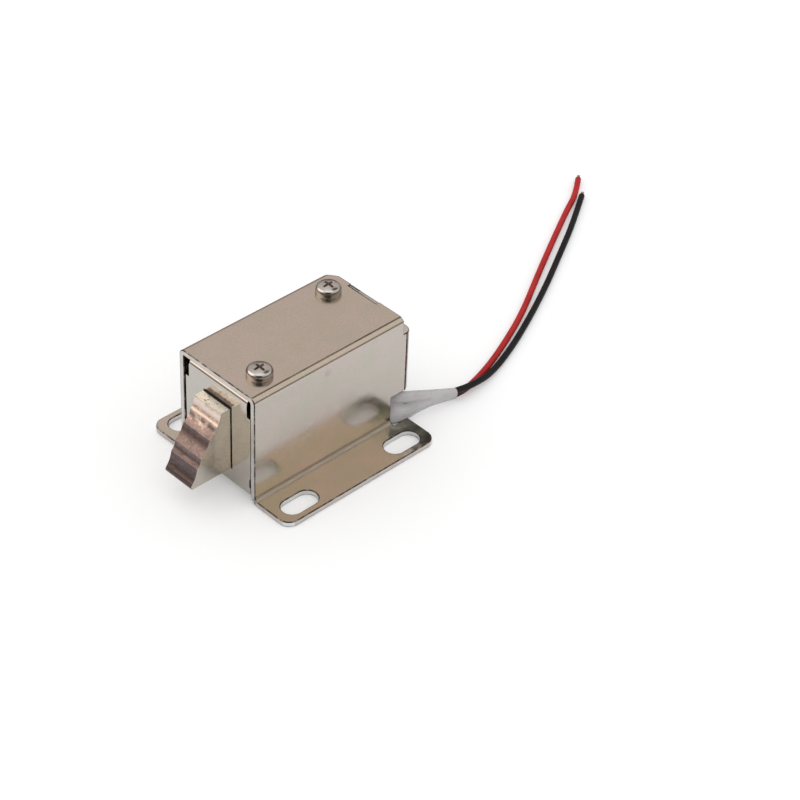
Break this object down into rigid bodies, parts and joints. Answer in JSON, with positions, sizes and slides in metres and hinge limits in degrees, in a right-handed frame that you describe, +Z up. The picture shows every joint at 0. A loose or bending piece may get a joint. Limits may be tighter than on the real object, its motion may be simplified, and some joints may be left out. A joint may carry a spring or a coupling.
{
  "type": "solenoid lock",
  "caption": "Electric cabinet lock: a sprung, ramped latch bolt drawn in by a coil, in a folded nickel-plated case with slotted flanges.",
  "frame": {"origin": "centre of the rectangle of four slots, on the mounting face under the flanges", "axes": "+X along the body, from the latch towards the leads; +Y across the body; +Z up from the mounting face"},
  "size_m": [0.1471, 0.0485, 0.0289],
  "materials": {
    "nickel_plate": "satin nickel plating",
    "nickel_plate_bright": "smooth nickel plating",
    "inner_steel": "zinc-plated steel",
    "latch_metal": "polished nickel-plated casting",
    "spring_steel": "drawn spring wire",
    "bobbin_plastic": "natural nylon",
    "copper": "enamelled copper wire",
    "tape": "polyester tape",
    "screw_plate": "bright plating",
    "sleeve": "soft white sleeving",
    "red_insulation": "smooth insulation",
    "black_insulation": "smooth insulation",
    "tinned_wire": "tinned copper strands"
  },
  "bodies": {
    "root": {"mounting_case": "nickel_plate", "yoke_frame": "nickel_plate_bright", "front_pole_plate": "inner_steel", "rear_pole_plate": "inner_steel", "fixed_core": "inner_steel", "return_spring": "spring_steel", "coil_bobbin": "bobbin_plastic", "coil_winding": "copper", "coil_tape": "tape", "cover_screw_front": "screw_plate", "cover_screw_rear": "screw_plate", "lead_sleeve": "sleeve", "lead_red": "red_insulation", "lead_black": "black_insulation", "lead_tip_red": "tinned_wire", "lead_tip_black": "tinned_wire", "lead_splices": "sleeve"},
    "latch": {"latch_bolt": "latch_metal", "plunger": "inner_steel", "plunger_pin": "inner_steel"}
  },
  "joints": [
    {"name": "latch_slide", "type": "slide", "parent": "root", "child": "latch", "axis": [1, 0, 0], "range_m": [0, 0.0095], "stiffness_N_per_m": 150, "springref_m": -0.01, "deforming": ["return_spring"]}
  ]
}
